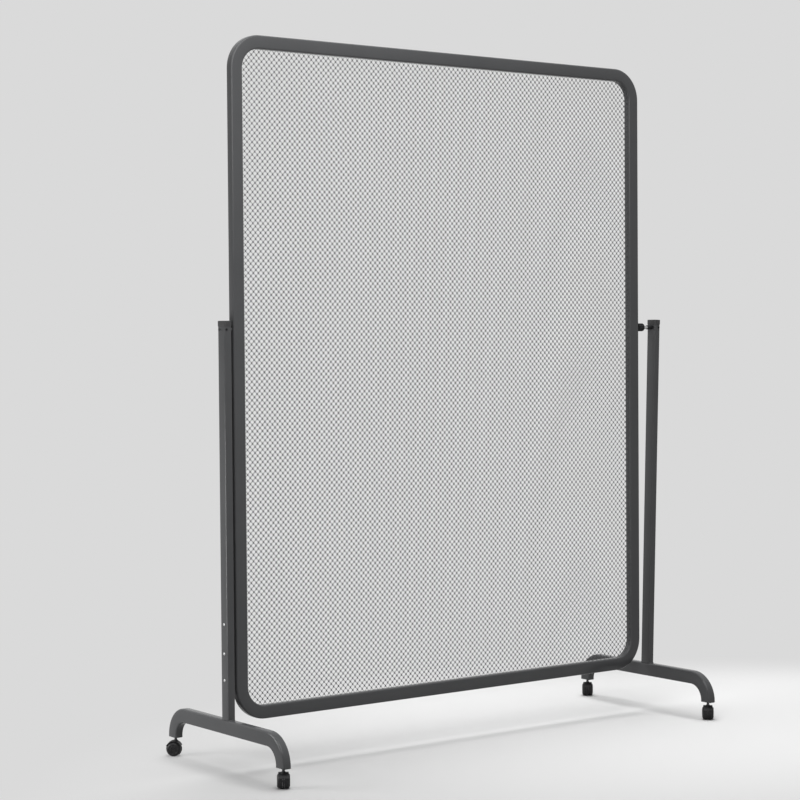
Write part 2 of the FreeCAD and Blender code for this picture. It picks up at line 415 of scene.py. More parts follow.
def repeat(piece: bpy.types.Object, count: int, shift: Sequence[float]) -> None:
    """Repeat a piece in a row.

    Args:
        piece: the object to repeat.
        count: how many there are in the row.
        shift: the step from one to the next.
    """
    apply_modifier(
        piece,
        "ARRAY",
        count=count,
        use_relative_offset=False,
        use_constant_offset=True,
        constant_offset_displace=shift,
    )


def gather(piece: bpy.types.Object, *others: bpy.types.Object) -> bpy.types.Object:
    """Put separate shells into one piece.

    Args:
        piece: the object that stays.
        others: the objects that become part of it.

    Returns:
        The first piece.
    """
    take(piece)
    for other in others:
        other.select_set(True)
    bpy.ops.object.join()
    return piece


def copy_of(piece: bpy.types.Object, name: str) -> bpy.types.Object:
    """Return a copy of a piece with a mesh of its own.

    Args:
        piece: the object to copy.
        name: the copy's name.

    Returns:
        The copy, in the same place.
    """
    twin = piece.copy()
    twin.data = piece.data.copy()
    twin.name = name
    bpy.context.scene.collection.objects.link(twin)
    return twin


def settle(piece: bpy.types.Object, place: Matrix) -> None:
    """Move a piece's mesh to its place and leave its object at the origin.

    Args:
        piece: the object to move.
        place: where its own axes go.
    """
    take(piece)
    piece.matrix_world = place @ piece.matrix_world
    bpy.ops.object.transform_apply(location=True, rotation=True, scale=True)


# Finishes


# The places of a colour mix node's sockets
MIX_FACTOR, MIX_FIRST, MIX_SECOND = 0, 6, 7
MIX_RESULT = 2
# The part of the drift's range that the gloss follows
DRIFT_RANGE = (0.3, 0.7)
BUMP_STRENGTH = 0.6
DUST_COLOUR = (0.30, 0.29, 0.27, 1)


def new_group(name: str, inputs: dict[str, float], outputs: Sequence[str]) -> bpy.types.NodeTree:
    """Return an empty shader node group with number sockets.

    Args:
        name: the group's name.
        inputs: each input's name and usual value.
        outputs: the names of its outputs.

    Returns:
        The group, with its input and output nodes in place.
    """
    group = bpy.data.node_groups.new(name, "ShaderNodeTree")
    for word, value in inputs.items():
        socket = group.interface.new_socket(word, in_out="INPUT", socket_type="NodeSocketFloat")
        socket.default_value = value
    for word in outputs:
        group.interface.new_socket(word, in_out="OUTPUT", socket_type="NodeSocketFloat")
    group.nodes.new("NodeGroupInput")
    group.nodes.new("NodeGroupOutput")
    return group


def add_node(tree: bpy.types.NodeTree, kind: str, **values: object) -> bpy.types.Node:
    """Add a node and set its properties and unlinked inputs.

    Args:
        tree: the material's or group's tree.
        kind: the node's type without its ShaderNode prefix.
        values: properties by name, or inputs by name with spaces as underscores.

    Returns:
        The new node.
    """
    node = tree.nodes.new("ShaderNode" + kind)
    for word, value in values.items():
        if hasattr(node, word):
            setattr(node, word, value)
        else:
            node.inputs[word.replace("_", " ")].default_value = value
    return node


def coat_group() -> bpy.types.NodeTree:
    """Return the shared group for sprayed and moulded skins: a fine relief and a broad drift.

    Returns:
        A group with the relief's Height and the Drift of colour and gloss over the surface.
    """
    group = bpy.data.node_groups.get("skin_relief")
    if group is not None:
        return group
    group = new_group("skin_relief", {"Fine": 1800.0, "Broad": 9.0}, ["Height", "Drift"])
    given, result = group.nodes["Group Input"], group.nodes["Group Output"]
    place = add_node(group, "TexCoord")
    fine = add_node(group, "TexNoise", Detail=2.0, Roughness=0.5)
    broad = add_node(group, "TexNoise", Detail=4.0, Roughness=0.6, Distortion=0.3)
    for noise, word in ((fine, "Fine"), (broad, "Broad")):
        group.links.new(place.outputs["Object"], noise.inputs["Vector"])
        group.links.new(given.outputs[word], noise.inputs["Scale"])
    group.links.new(fine.outputs["Fac"], result.inputs["Height"])
    group.links.new(broad.outputs["Fac"], result.inputs["Drift"])
    return group


def dust_group() -> bpy.types.NodeTree:
    """Return the shared group for dust that gathers low down, in patches.

    Returns:
        A group whose Dust is strongest at the floor and fades at the given Reach.
    """
    group = bpy.data.node_groups.get("floor_dust")
    if group is not None:
        return group
    group = new_group("floor_dust", {"Reach": 0.06, "Patches": 240.0}, ["Dust"])
    given, result = group.nodes["Group Input"], group.nodes["Group Output"]
    place = add_node(group, "TexCoord")
    split = add_node(group, "SeparateXYZ")
    noise = add_node(group, "TexNoise", Detail=5.0, Roughness=0.65)
    fade = add_node(group, "MapRange", From_Min=0.0, To_Min=1.0, To_Max=0.0)
    patch = add_node(group, "MapRange", From_Min=0.42, From_Max=0.75)
    both = add_node(group, "Math", operation="MULTIPLY")
    group.links.new(place.outputs["Object"], split.inputs["Vector"])
    group.links.new(place.outputs["Object"], noise.inputs["Vector"])
    group.links.new(given.outputs["Patches"], noise.inputs["Scale"])
    group.links.new(split.outputs["Z"], fade.inputs["Value"])
    group.links.new(given.outputs["Reach"], fade.inputs["From Max"])
    group.links.new(noise.outputs["Fac"], patch.inputs["Value"])
    group.links.new(fade.outputs["Result"], both.inputs[0])
    group.links.new(patch.outputs["Result"], both.inputs[1])
    group.links.new(both.outputs["Value"], result.inputs["Dust"])
    return group


@dataclass(frozen=True)
class Finish:
    """One surface finish: two nearby colours, a range of gloss and a fine relief.

    Attributes:
        slot: the record's material slot.
        dark: the darker colour of its drift.
        pale: the paler colour of its drift.
        smooth: roughness where the drift is low.
        rough: roughness where the drift is high.
        fine: how fine the relief is, in features per metre.
        broad: how fine the drift is.
        relief: the height of the relief in metres.
        metallic: 1 for bare metal.
        sheen: how strongly it mirrors, where 0.5 is usual.
        dust: how strongly dust from the floor shows.
    """

    slot: str
    dark: Colour
    pale: Colour
    smooth: float
    rough: float
    fine: float = 1800.0
    broad: float = 9.0
    relief: float = 0.00003
    metallic: float = 0.0
    sheen: float = 0.5
    dust: float = 0.0

    def material(self) -> bpy.types.Material:
        """Return the finish's material, built once.

        Returns:
            The material, named after the slot.
        """
        name = "divider_" + self.slot
        material = bpy.data.materials.get(name)
        if material is not None:
            return material
        material = bpy.data.materials.new(name)
        material.use_nodes = True
        tree = material.node_tree
        shader = tree.nodes["Principled BSDF"]
        shader.inputs["Metallic"].default_value = self.metallic
        shader.inputs["Specular IOR Level"].default_value = self.sheen
        skin = add_node(tree, "Group", node_tree=coat_group())
        skin.inputs["Fine"].default_value = self.fine
        skin.inputs["Broad"].default_value = self.broad
        tint = add_node(tree, "Mix", data_type="RGBA")
        tint.inputs[MIX_FIRST].default_value = (*self.dark, 1)
        tint.inputs[MIX_SECOND].default_value = (*self.pale, 1)
        low, high = DRIFT_RANGE
        gloss = add_node(tree, "MapRange", From_Min=low, From_Max=high)
        gloss.inputs["To Min"].default_value = self.smooth
        gloss.inputs["To Max"].default_value = self.rough
        bump = add_node(tree, "Bump", Strength=BUMP_STRENGTH, Distance=self.relief)
        tree.links.new(skin.outputs["Drift"], tint.inputs[MIX_FACTOR])
        tree.links.new(skin.outputs["Drift"], gloss.inputs["Value"])
        tree.links.new(skin.outputs["Height"], bump.inputs["Height"])
        tree.links.new(bump.outputs["Normal"], shader.inputs["Normal"])
        tree.links.new(gloss.outputs["Result"], shader.inputs["Roughness"])
        colour = tint.outputs[MIX_RESULT]
        if self.dust:
            colour = self.dusted(tree, colour)
        tree.links.new(colour, shader.inputs["Base Color"])
        return material

    def dusted(self, tree: bpy.types.NodeTree, colour: bpy.types.NodeSocket) -> bpy.types.NodeSocket:
        """Return the finish's colour with floor dust laid over it.

        Args:
            tree: the material's node tree.
            colour: the clean colour.

        Returns:
            The dusty colour.
        """
        dust = add_node(tree, "Group", node_tree=dust_group())
        amount = add_node(tree, "Math", operation="MULTIPLY")
        amount.inputs[1].default_value = self.dust
        cover = add_node(tree, "Mix", data_type="RGBA")
        cover.inputs[MIX_SECOND].default_value = DUST_COLOUR
        tree.links.new(dust.outputs["Dust"], amount.inputs[0])
        tree.links.new(amount.outputs["Value"], cover.inputs[MIX_FACTOR])
        tree.links.new(colour, cover.inputs[MIX_FIRST])
        return cover.outputs[MIX_RESULT]


FRAME_PAINT = Finish(
    "frame_paint",
    dark=(0.058, 0.059, 0.061),
    pale=(0.073, 0.074, 0.076),
    smooth=0.13,
    rough=0.21,
    sheen=0.22,
)
MESH_PAINT = Finish(
    "mesh_paint",
    dark=(0.060, 0.061, 0.063),
    pale=(0.080, 0.081, 0.083),
    smooth=0.36,
    rough=0.50,
)
GREY_PLASTIC = Finish(
    "grey_plastic",
    dark=(0.032, 0.032, 0.033),
    pale=(0.042, 0.042, 0.043),
    smooth=0.42,
    rough=0.55,
    fine=2600.0,
    sheen=0.3,
)
BLACK_PLASTIC = Finish(
    "black_plastic",
    dark=(0.010, 0.010, 0.011),
    pale=(0.016, 0.016, 0.017),
    smooth=0.46,
    rough=0.60,
    fine=2600.0,
    sheen=0.2,
    dust=0.1,
)
WHEEL_PLASTIC = Finish(
    "wheel_plastic",
    dark=(0.009, 0.009, 0.010),
    pale=(0.014, 0.014, 0.015),
    smooth=0.38,
    rough=0.55,
    fine=900.0,
    sheen=0.2,
    dust=0.12,
)
DARK_STEEL = Finish(
    "dark_steel",
    dark=(0.04, 0.04, 0.042),
    pale=(0.07, 0.07, 0.072),
    smooth=0.34,
    rough=0.50,
    fine=1200.0,
    broad=160.0,
    metallic=1.0,
)
ZINC_STEEL = Finish(
    "zinc_steel",
    dark=(0.42, 0.42, 0.43),
    pale=(0.60, 0.60, 0.60),
    smooth=0.26,
    rough=0.42,
    fine=1200.0,
    broad=160.0,
    metallic=1.0,
)


def dress(
    piece: bpy.types.Object,
    finish: Finish,
    body: str,
    stands_for: Iterable[str] = (),
    crease: float = 32.0,
) -> bpy.types.Object:
    """Give a finished piece its surface, its body and the nodes that it stands for.

    Args:
        piece: the modelled object.
        finish: its surface.
        body: the body that it moves with.
        stands_for: the plain nodes that it replaces.
        crease: the angle in degrees over which an edge stays sharp.

    Returns:
        The piece.
    """
    take(piece)
    bpy.ops.object.shade_smooth_by_angle(angle=math.radians(crease))
    piece.data.materials.clear()
    piece.data.materials.append(finish.material())
    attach(piece, body)
    nodes = list(stands_for)
    if nodes:
        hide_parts(*nodes)
    LOG.info("%s rides on %s for %s", piece.name, body, nodes or "no node")
    return piece


# Tube work


@dataclass
class Tube:
    """Rounded rectangular tube that is drawn along runs and bends.

    Attributes:
        name: the piece's name.
        centre: the middle of its first section.
        size_u: the section's first side: along X, or along Z where the tube starts along X.
        size_v: the section's side along Y.
        along_x: whether the tube starts along X; otherwise it starts along Z.
        edge_radius: the rounding of its four edges.
        edge_flats: the number of flats in that rounding.
        piece: the object, open in edit mode until the tube is done.
    """

    name: str
    centre: Vector
    size_u: float
    size_v: float
    along_x: bool = False
    edge_radius: float = 4 * MM
    edge_flats: int = 5
    piece: bpy.types.Object = field(init=False)

    def __post_init__(self) -> None:
        """Draw the first section as an open loop of edges, selected for the next step."""
        clear_selection()
        turn = (0, math.pi / 2, 0) if self.along_x else (0, 0, 0)
        bpy.ops.mesh.primitive_plane_add(size=1, location=self.centre, rotation=turn)
        self.piece = bpy.context.object
        self.piece.name = self.name
        self.piece.scale = (self.size_u, self.size_v, 1)
        bpy.ops.object.transform_apply(location=True, rotation=True, scale=True)
        edit(self.piece, Pick.VERT)
        bpy.ops.mesh.select_all(action="SELECT")
        bpy.ops.mesh.bevel(offset=self.edge_radius, segments=self.edge_flats, affect="VERTICES")
        bpy.ops.mesh.delete(type="ONLY_FACE")
        bpy.ops.mesh.select_all(action="SELECT")

    def run(self, shift: Sequence[float]) -> "Tube":
        """Draw the tube straight on.

        Args:
            shift: how far it goes along each axis.

        Returns:
            The tube.
        """
        extrude(shift)
        return self

    def bend(
        self, centre: Sequence[float], axis: Sequence[float], degrees: float, steps: int = 18
    ) -> "Tube":
        """Draw the tube round a bend.

        Args:
            centre: a point on the bend's axis.
            axis: the axis, for the right-hand rule.
            degrees: the angle of the bend.
            steps: the number of stretches in it.

        Returns:
            The tube.
        """
        spin(centre, axis, degrees, steps)
        return self

    def done(self) -> bpy.types.Object:
        """Close the tube and return its piece."""
        close_mesh(self.piece)
        return self.piece


# The screen


@dataclass
class Screen:
    """The tilting screen: a bent tube frame that is filled with mesh.

    Attributes:
        tube_face: the width of the frame's tube in the plane of the screen.
        corner_radius: the outer radius of the frame's corners.
        cell_width: the distance between strands of one slant along X.
        cell_height: the same along Z.
        strand_width: the width of a strand.
        strand_depth: the thickness of a strand.
        tuck: how far the strands run into the frame's wall.
        bond_width: the width of the bond where two strands cross.
        bond_height: its height.
        bond_depth: its thickness.
        body: the body that the screen is.
    """

    tube_face: float = 30 * MM
    corner_radius: float = 75 * MM
    cell_width: float = 13.2 * MM
    cell_height: float = 13.6 * MM
    strand_width: float = 0.8 * MM
    strand_depth: float = 0.8 * MM
    tuck: float = 0.8 * MM
    bond_width: float = 3.9 * MM
    bond_height: float = 5.3 * MM
    bond_depth: float = 2.0 * MM
    body: str = "panel"

    def __post_init__(self) -> None:
        """Take the screen's outline from the frame node."""
        self.low, self.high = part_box("panel_frame")
        self.middle = (self.low + self.high) / 2

    def build(self) -> None:
        """Model and dress the frame and the mesh."""
        self.build_frame()
        for slant in Slant:
            self.build_strands(slant)
        self.build_bonds()

    def build_frame(self) -> None:
        """Draw the frame's tube once round its outline."""
        half = self.tube_face / 2
        radius = self.corner_radius
        left, right = self.low.x + radius, self.high.x - radius
        bottom, top = self.low.z + radius, self.high.z - radius
        depth = self.high.y - self.low.y
        start = Vector((left, self.middle.y, self.high.z - half))
        tube = Tube("screen_frame", start, self.tube_face, depth, along_x=True)
        wide, tall = right - left, top - bottom
        tube.run((wide, 0, 0)).bend((right, 0, top), Y_AXIS, 90)
        tube.run((0, 0, -tall)).bend((right, 0, bottom), Y_AXIS, 90)
        tube.run((-wide, 0, 0)).bend((left, 0, bottom), Y_AXIS, 90)
        tube.run((0, 0, tall)).bend((left, 0, top), Y_AXIS, 90)
        dress(tube.done(), FRAME_PAINT, self.body, ["panel_frame"])

    def opening(self, name: str, grow: float) -> bpy.types.Object:
        """Return a slab with the outline of the frame's opening.

        Args:
            name: the slab's name.
            grow: how far its outline lies outside the opening.

        Returns:
            The slab, thicker than the mesh.
        """
        edge = self.tube_face - grow
        low = Vector((self.low.x + edge, self.low.y, self.low.z + edge))
        high = Vector((self.high.x - edge, self.high.y, self.high.z - edge))
        slab = start_block(name, low, high)
        round_along(slab, Y_AXIS, self.corner_radius - edge, flats=10)
        bpy.ops.object.mode_set(mode="OBJECT")
        return slab

    def build_strands(self, slant: Slant) -> None:
        """Model one layer of strands and trim it to the frame's opening.

        Args:
            slant: the direction of the strands.
        """
        spacing = 1 / math.hypot(1 / self.cell_width, 1 / self.cell_height)
        reach = math.hypot(self.high.x - self.low.x, self.high.z - self.low.z) / 2
        count = math.ceil(reach / spacing)
        name = f"mesh_{slant.word}"
        half = Vector((reach, self.strand_depth / 2, self.strand_width / 2))
        layer = start_block(name, -half, half)
        round_along(layer, X_AXIS, self.strand_depth / 4, flats=1)
        bpy.ops.object.mode_set(mode="OBJECT")
        settle(layer, Matrix.Translation((0, 0, -count * spacing)))
        repeat(layer, 2 * count + 1, (0, 0, spacing))
        angle = -slant.value * math.atan2(self.cell_height, self.cell_width)
        shift = Vector((self.middle.x, slant.value * self.strand_depth / 2, self.middle.z))
        settle(layer, Matrix.Translation(shift) @ Matrix.Rotation(angle, 4, "Y"))
        combine(layer, Blend.INTERSECT, self.opening(name + "_trim", self.tuck))
        dress(layer, MESH_PAINT, self.body, [f"mesh_{slant.word}_strands"])

    def build_bonds(self) -> None:
        """Model the bond of two crossing strands once, and repeat it over the opening."""
        columns = math.floor((self.high.x - self.low.x) / self.cell_width / 2)
        rows = math.floor((self.high.z - self.low.z) / self.cell_height / 2)
        clear_selection()
        bpy.ops.mesh.primitive_uv_sphere_add(segments=4, ring_count=2, radius=0.5)
        bonds = bpy.context.object
        bonds.name = "mesh_bonds"
        bonds.scale = (self.bond_width, self.bond_depth, self.bond_height)
        bpy.ops.object.transform_apply(location=True, rotation=True, scale=True)
        points = len(bonds.data.vertices)
        corner = Vector((-columns * self.cell_width, 0, -rows * self.cell_height))
        settle(bonds, Matrix.Translation(self.middle + corner))
        repeat(bonds, 2, (self.cell_width / 2, 0, self.cell_height / 2))
        repeat(bonds, 2 * columns + 1, (self.cell_width, 0, 0))
        repeat(bonds, 2 * rows + 1, (0, 0, self.cell_height))
        self.trim_bonds(bonds, points)
        dress(bonds, MESH_PAINT, self.body, crease=SOFT_CREASE)

    def trim_bonds(self, bonds: bpy.types.Object, points: int) -> None:
        """Delete the bonds that would lie under the frame's tube.

        Args:
            bonds: the repeated bonds.
            points: the number of points in each of them.
        """
        edge = self.tube_face + self.bond_width / 2
        radius = self.corner_radius - edge
        half_x = (self.high.x - self.low.x) / 2 - edge
        half_z = (self.high.z - self.low.z) / 2 - edge
        edit(bonds, Pick.VERT)
        mesh = bmesh.from_edit_mesh(bonds.data)
        mesh.verts.ensure_lookup_table()
        for first in range(0, len(mesh.verts), points):
            group = mesh.verts[first : first + points]
            centre = sum((v.co for v in group), Vector()) / points - self.middle
            over_x = max(abs(centre.x) - (half_x - radius), 0)
            over_z = max(abs(centre.z) - (half_z - radius), 0)
            if math.hypot(over_x, over_z) > radius:
                for vert in group:
                    vert.select_set(True)
        mesh.select_flush_mode()
        bmesh.update_edit_mesh(bonds.data)
        bpy.ops.mesh.delete(type="VERT")
        bpy.ops.object.mode_set(mode="OBJECT")


# The stands


@dataclass(frozen=True)
class Screw:
    """A low dome-headed screw with a socket, half sunk in the face that it sits in.

    All its sizes but the radius are shares of the radius.

    Attributes:
        radius: the radius of its head.
        height: the whole height of its head.
        dome: the rounding of its rim.
        land: the width of the flat ring round its socket.
        slope: how far the socket narrows.
        socket: the depth of the socket.
    """

    radius: float
    height: float = 0.8
    dome: float = 0.3
    land: float = 0.2
    slope: float = 0.08
    socket: float = 0.3

    def build(self, name: str, centre: Vector, way: Sequence[float]) -> bpy.types.Object:
        """Return the screw.

        Args:
            name: the piece's name.
            centre: a point in the face that it sits in.
            way: the direction that it looks.

        Returns:
            The modelled screw.
        """
        head = start_disc(name, centre, self.radius, self.height * self.radius, way, sides=24)
        edit(head)
        round_rim(head, way, self.dome * self.radius, flats=4)
        choose_facing(head, way, FLAT)
        inset(self.land * self.radius)
        inset(self.slope * self.radius, -self.socket * self.radius)
        close_mesh(head)
        return head


@dataclass
class Stand:
    """One post on its bent foot, with its cap, screws and leg plugs.

    Attributes:
        side: which stand it is.
        lean: how far the post leans outwards, in degrees.
        post_width: the post's size along X.
        post_edge: the rounding of the post's edges.
        foot_height: the height of the foot's tube.
        bend_radius: the radius of the foot's bends at the middle of the tube.
        cap_height: the height of the cap on the post.
        cap_wall: the wall of the cap.
        cap_round: the rounding round its top.
        cap_grip: the share of its wall that is left round the post.
        plug_edge: the chamfer round the plug under a leg.
        plug_corner: the rounding of the plug's upright edges.
        screw_heights: the heights of the screws in the post's outer face.
        screw: the screw in that face.
        lock: the lock screw at the pivot, of which there are two.
        lock_side: how far the front one sits outwards of the middle of its face.
        lock_back: how far the outer one sits behind the middle of its face.
        bead_radius: the radius of the weld beads at the post's foot.
        bead_ripples: the number of stretches in a weld bead.
        bead_waist: the share of the radius at the bead's narrow places.
        body: the body that the stand belongs to.
    """

    side: Side
    lean: float
    post_width: float = 18 * MM
    post_edge: float = 3 * MM
    foot_height: float = 32 * MM
    bend_radius: float = 52 * MM
    cap_height: float = 12 * MM
    cap_wall: float = 0.6 * MM
    cap_round: float = 1.2 * MM
    cap_grip: float = 0.9
    plug_edge: float = 1.2 * MM
    plug_corner: float = 2.5 * MM
    screw_heights: tuple[float, ...] = (324 * MM, 260 * MM, 202 * MM)
    screw: Screw = Screw(3.2 * MM)
    lock: Screw = Screw(3.0 * MM)
    lock_side: float = 4 * MM
    lock_back: float = 8 * MM
    bead_radius: float = 2 * MM
    bead_ripples: int = 7
    bead_waist: float = 0.82
    body: str = "stand"

    def __post_init__(self) -> None:
        """Take the places of the foot, the post and the cap from their nodes."""
        word = self.side.word
        self.foot_low, self.foot_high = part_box(f"{word}_foot")
        self.foot_middle = (self.foot_low + self.foot_high) / 2
        self.x = self.foot_middle.x
        self.base = self.foot_high.z
        post_low, post_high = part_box(f"{word}_post")
        self.y = (post_low.y + post_high.y) / 2
        self.post_depth = post_high.y - post_low.y
        self.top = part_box(f"{word}_post_cap")[1].z
        self.leg_reach = (self.foot_high.y - self.foot_low.y - self.foot_height) / 2
        pivot = Matrix.Translation((self.x, self.y, self.base))
        turn = Matrix.Rotation(math.radians(self.lean), 4, "Y")
        self.tilt = pivot @ turn @ pivot.inverted()
        self.length = self.post_length()

    def post_length(self) -> float:
        """Work out how long the post is.

        Returns:
            The length along the post from the foot to the top of the cap.
        """
        angle = math.radians(self.lean)
        corner = (self.post_width / 2 + self.cap_wall) * math.sin(angle)
        return (self.top - self.base - corner) / math.cos(angle)

    def build(self) -> None:
        """Model and dress every piece of the stand."""
        self.build_post()
        self.build_cap()
        self.build_foot()
        self.build_weld()
        self.build_screws()
        self.build_locks()
        for end in End:
            self.build_plug(end)

    def build_post(self) -> None:
        """Draw the post's tube, lean it and cut its lower end level."""
        name = f"{self.side.word}_post_tube"
        start = Vector((self.x, self.y, self.base - self.post_width))
        tube = Tube(name, start, self.post_width, self.post_depth, edge_radius=self.post_edge)
        piece = tube.run((0, 0, self.length + self.post_width - 2 * self.cap_wall)).done()
        settle(piece, self.tilt)
        cut_below(piece, self.base)
        dress(piece, FRAME_PAINT, self.body, [f"{self.side.word}_post"])

    def build_cap(self) -> None:
        """Shape the cap that sleeves the post's top."""
        word = self.side.word
        wall = self.cap_wall
        half = Vector((self.post_width / 2 + wall, self.post_depth / 2 + wall, 0))
        top = Vector((self.x, self.y, self.base + self.length))
        low = top - half - Vector((0, 0, self.cap_height))
        piece = start_block(f"{word}_cap", low, top + half)
        round_along(piece, Z_AXIS, self.post_edge, flats=4)
        round_rim(piece, Z_AXIS, self.cap_round, flats=4)
        choose_facing(piece, DOWN)
        inset(self.cap_grip * wall)
        extrude((0, 0, self.cap_height - 2 * wall))
        close_mesh(piece)
        settle(piece, self.tilt)
        dress(piece, GREY_PLASTIC, self.body, [f"{word}_post_cap"])

    def build_foot(self) -> None:
        """Draw the foot's tube up one leg, along the floor and down the other leg."""
        word = self.side.word
        front = self.foot_middle.y - self.leg_reach
        rear = self.foot_middle.y + self.leg_reach
        bend_z = self.base - self.foot_height / 2 - self.bend_radius
        rise = bend_z - self.foot_low.z
        run = 2 * (self.leg_reach - self.bend_radius)
        start = Vector((self.x, front, self.foot_low.z))
        width = self.foot_high.x - self.foot_low.x
        tube = Tube(f"{word}_foot_tube", start, width, self.foot_height)
        tube.run((0, 0, rise)).bend((self.x, front + self.bend_radius, bend_z), X_AXIS, -90)
        tube.run((0, run, 0)).bend((self.x, rear - self.bend_radius, bend_z), X_AXIS, -90)
        tube.run((0, 0, -rise))
        dress(tube.done(), FRAME_PAINT, self.body, [f"{word}_foot"])

    def build_weld(self) -> None:
        """Lay a rippled weld bead before and behind the post on the foot."""
        length = self.post_width - 2 * self.bead_radius
        beads = [self.build_bead(end, length) for end in End]
        weld = gather(*beads)
        weld.name = f"{self.side.word}_weld"
        dress(weld, FRAME_PAINT, self.body, crease=SOFT_CREASE)

    def build_bead(self, end: End, length: float) -> bpy.types.Object:
        """Return one weld bead, narrower at every second ripple.

        Args:
            end: the side of the post that it lies on.
            length: its length.

        Returns:
            The bead.
        """
        ripple = length / self.bead_ripples
        middle = self.bead_ripples / 2
        centre = (self.x, self.y + end.value * self.post_depth / 2, self.base)
        name = f"{self.side.word}_weld_{end.word}"
        bead = start_disc(name, centre, self.bead_radius, length, X_AXIS, sides=16)
        edit(bead)
        for step in range(1, self.bead_ripples):
            shift = step * ripple - length / 2
            score((self.x + shift, 0, 0), X_AXIS)
        choose(bead, Pick.VERT, lambda at, way: round((at.x - self.x) / ripple + middle) % 2 == 0)
        waist = (1, self.bead_waist, self.bead_waist)
        bpy.ops.transform.resize(value=waist, center_override=centre)
        close_mesh(bead)
        return bead

    def build_screws(self) -> None:
        """Set a screw at each height in the post's outer face."""
        way = (self.side.value, 0, 0)
        face = self.x + self.side.value * self.post_width / 2
        screws = []
        for number, height in enumerate(self.screw_heights):
            name = f"{self.side.word}_screw_{number}"
            screws.append(self.screw.build(name, Vector((face, self.y, height)), way))
        piece = gather(*screws)
        piece.name = f"{self.side.word}_post_screws"
        settle(piece, self.tilt)
        dress(piece, ZINC_STEEL, self.body)

    def build_locks(self) -> None:
        """Set a black lock screw in the post's front face and one in its outer face, at the pivot;
        their black also paints the shade of a deep socket.
        """
        word, way = self.side.word, self.side.value
        low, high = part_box(f"{word}_pivot_bolt")
        rise = (low.z + high.z) / 2 - self.base
        height = self.base + rise / math.cos(math.radians(self.lean))
        front = Vector((self.x + way * self.lock_side, self.y - self.post_depth / 2, height))
        outer = Vector((self.x + way * self.post_width / 2, self.y + self.lock_back, height))
        piece = gather(
            self.lock.build(f"{word}_front_lock", front, (0, -1, 0)),
            self.lock.build(f"{word}_outer_lock", outer, (way, 0, 0)),
        )
        piece.name = f"{word}_lock_screws"
        settle(piece, self.tilt)
        # Black: real screws, and painted shade where a deep socket would be dark.
        dress(piece, BLACK_PLASTIC, self.body)

    def build_plug(self, end: End) -> None:
        """Shape the plug under one leg, with a chamfer round its end.

        Args:
            end: which end of the foot.
        """
        node = f"{self.side.word}_{end.word}_leg_plug"
        low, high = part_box(node)
        high.z = self.foot_low.z
        piece = start_block(f"{self.side.word}_{end.word}_plug", low, high)
        round_along(piece, Z_AXIS, self.plug_corner, flats=3)
        choose_facing(piece, DOWN)
        middle = (low + high) / 2
        size = high - low
        ratio = (1 - 2 * self.plug_edge / size.x, 1 - 2 * self.plug_edge / size.y, 1)
        bpy.ops.transform.resize(value=ratio, center_override=(middle.x, middle.y, low.z))
        close_mesh(piece)
        dress(piece, BLACK_PLASTIC, self.body, [node])


# The castors


